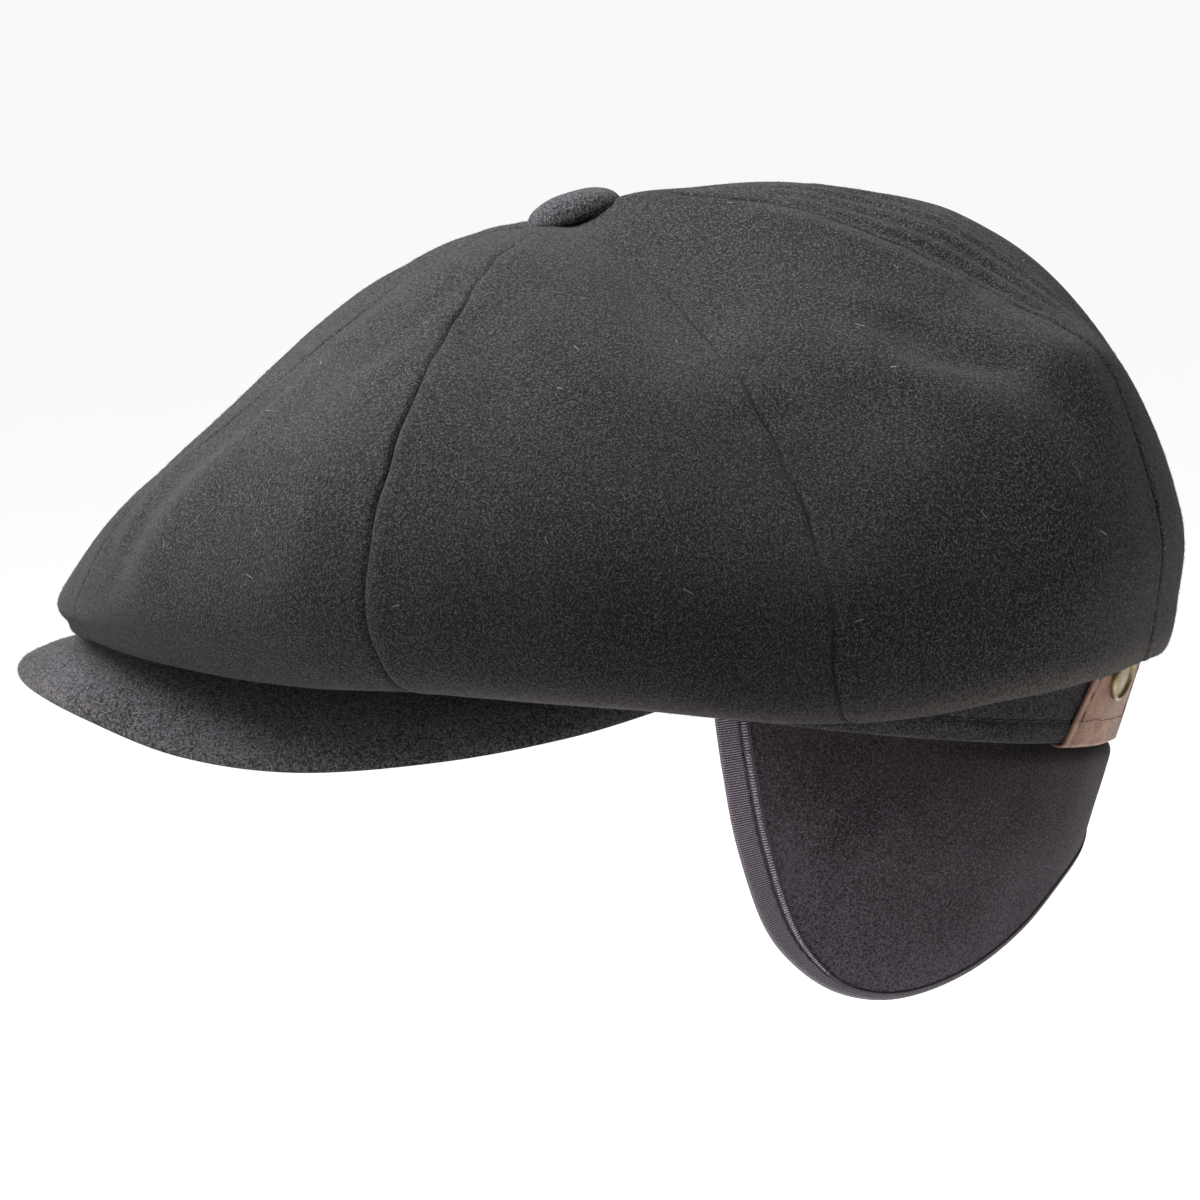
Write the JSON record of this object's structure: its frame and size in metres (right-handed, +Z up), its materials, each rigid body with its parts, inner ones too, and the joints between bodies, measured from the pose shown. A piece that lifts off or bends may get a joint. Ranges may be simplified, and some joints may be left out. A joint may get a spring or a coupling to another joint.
{
  "type": "flat cap with earflaps",
  "caption": "Wool newsboy flat cap with a panelled crown, covered button, short peak and a fold-down ear and neck flap, held in its worn form.",
  "frame": {"origin": "the middle of the head opening, level with the band's lower edge over the ears, where the cap sits on the head", "axes": "+Z up, +Y to the back of the head, -Y to the peak, +X to the wearer's left"},
  "size_m": [0.2426, 0.2837, 0.1944],
  "materials": {
    "wool_melton": "felted charcoal wool melton with a short fuzz",
    "flap_felt": "soft dark plum-grey fleece felt",
    "binding_ribbon": "woven diagonal-rib binding tape, slight sheen",
    "tab_leather": "matt pinkish-brown leather, stitched",
    "stud_brass": "brushed antique brass, plain"
  },
  "bodies": {
    "root": {"crown_panel_front": "wool_melton", "crown_panel_front_left": "wool_melton", "crown_panel_left": "wool_melton", "crown_panel_back_left": "wool_melton", "crown_panel_back": "wool_melton", "crown_panel_back_right": "wool_melton", "crown_panel_right": "wool_melton", "crown_panel_front_right": "wool_melton", "head_band": "wool_melton", "peak": "wool_melton", "ear_flap": "flap_felt", "flap_binding": "binding_ribbon", "leather_tab": "tab_leather", "tab_stud": "stud_brass", "crown_button": "wool_melton"}
  },
  "joints": []
}
